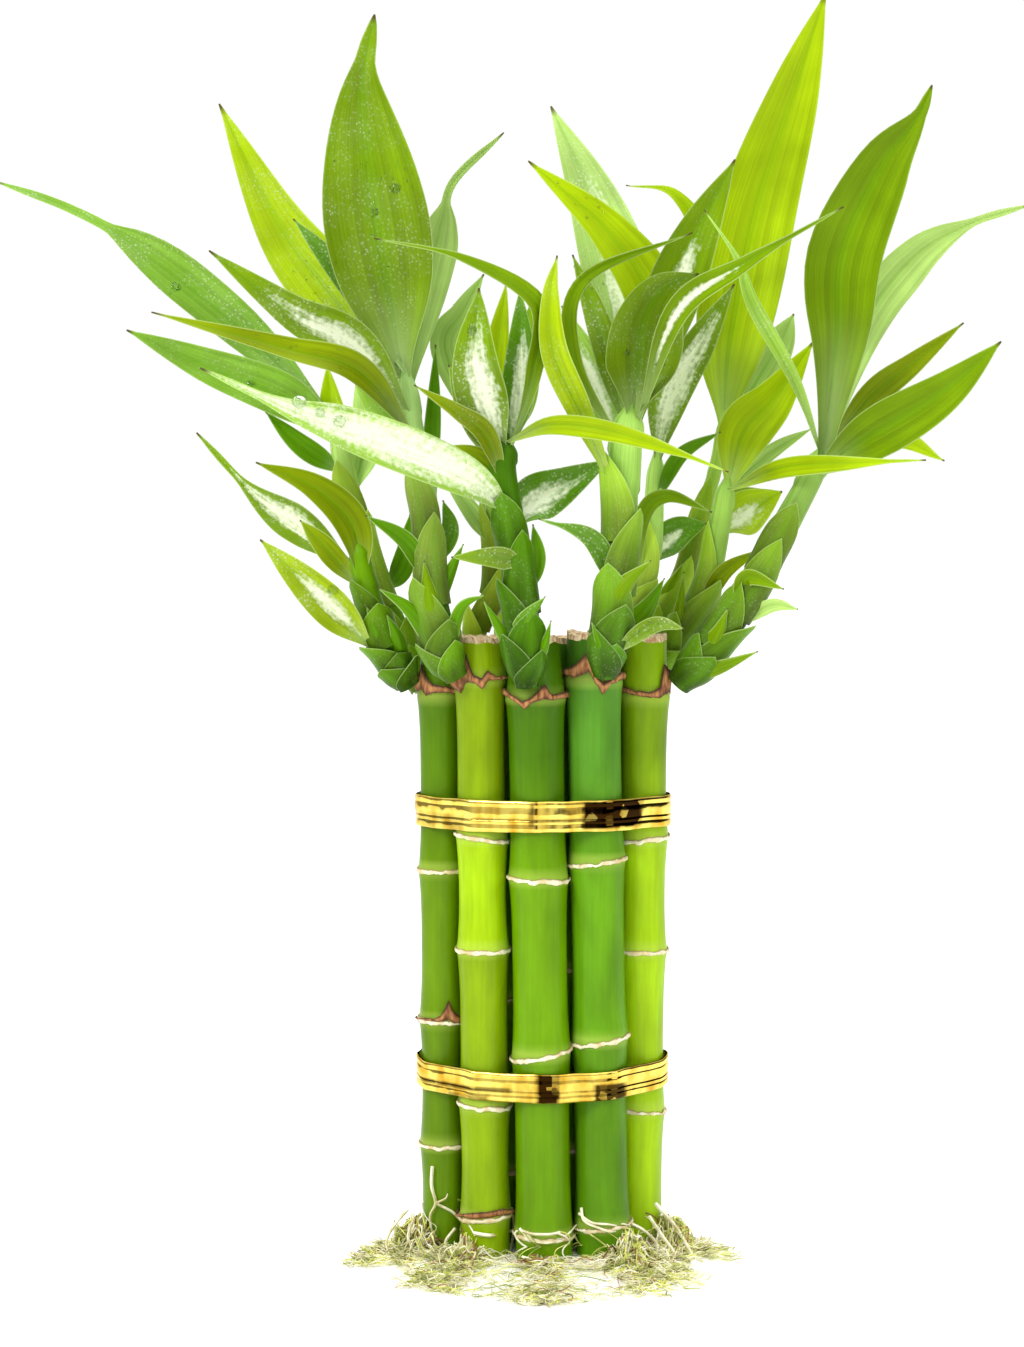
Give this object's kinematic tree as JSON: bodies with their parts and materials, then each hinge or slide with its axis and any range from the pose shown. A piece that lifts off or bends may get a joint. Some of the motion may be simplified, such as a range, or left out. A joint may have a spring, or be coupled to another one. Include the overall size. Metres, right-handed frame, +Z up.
{
  "type": "lucky bamboo bundle",
  "caption": "Upright tied bundle of green lucky bamboo canes with leafy shoots, two gold foil ties and a mat of fine roots.",
  "frame": {"origin": "the standing surface, on the cut foot of a middle cane, at the middle of the bundle", "axes": "+Z up along the canes, -Y towards the front of the plant, +X to its right seen from the front"},
  "size_m": [0.264, 0.1088, 0.3174],
  "materials": {
    "cane_01": "smooth waxy green living stalk with tan papery node collars and a cut tan top",
    "cane_02": "smooth waxy green living stalk with tan papery node collars and a cut tan top",
    "cane_03": "smooth waxy green living stalk with tan papery node collars and a cut tan top",
    "cane_04": "smooth waxy green living stalk with tan papery node collars and a cut tan top",
    "cane_05": "smooth waxy green living stalk with tan papery node collars and a cut tan top",
    "cane_06": "smooth waxy green living stalk with tan papery node collars and a cut tan top",
    "cane_07": "smooth waxy green living stalk with tan papery node collars and a cut tan top",
    "cane_08": "smooth waxy green living stalk with tan papery node collars and a cut tan top",
    "cane_09": "smooth waxy green living stalk with tan papery node collars and a cut tan top",
    "cane_10": "smooth waxy green living stalk with tan papery node collars and a cut tan top",
    "cane_11": "smooth waxy green living stalk with tan papery node collars and a cut tan top",
    "shoot_01": "glossy, slightly translucent living leaves and pale green stem, dewy",
    "shoot_02": "glossy, slightly translucent living leaves and pale green stem, dewy",
    "shoot_03": "glossy, slightly translucent living leaves and pale green stem, dewy",
    "shoot_04": "glossy, slightly translucent living leaves and pale green stem, dewy",
    "shoot_05": "glossy, slightly translucent living leaves and pale green stem, dewy",
    "shoot_06": "glossy, slightly translucent living leaves and pale green stem, dewy",
    "shoot_07": "glossy, slightly translucent living leaves and pale green stem, dewy",
    "shoot_08": "glossy, slightly translucent living leaves and pale green stem, dewy",
    "shoot_09": "glossy, slightly translucent living leaves and pale green stem, dewy",
    "shoot_10": "glossy, slightly translucent living leaves and pale green stem, dewy",
    "shoot_11": "glossy, slightly translucent living leaves and pale green stem, dewy",
    "gold_foil": "bright gold metallic foil ribbon in three ribs",
    "roots": "matt cream to yellow-green root fibres"
  },
  "bodies": {
    "root": {"cane_01": "cane_01", "cane_02": "cane_02", "cane_03": "cane_03", "cane_04": "cane_04", "cane_05": "cane_05", "cane_06": "cane_06", "cane_07": "cane_07", "cane_08": "cane_08", "cane_09": "cane_09", "cane_10": "cane_10", "cane_11": "cane_11", "shoot_01": "shoot_01", "shoot_02": "shoot_02", "shoot_03": "shoot_03", "shoot_04": "shoot_04", "shoot_05": "shoot_05", "shoot_06": "shoot_06", "shoot_07": "shoot_07", "shoot_08": "shoot_08", "shoot_09": "shoot_09", "shoot_10": "shoot_10", "shoot_11": "shoot_11", "tie_upper": "gold_foil", "tie_lower": "gold_foil", "root_mat": "roots"}
  },
  "joints": []
}
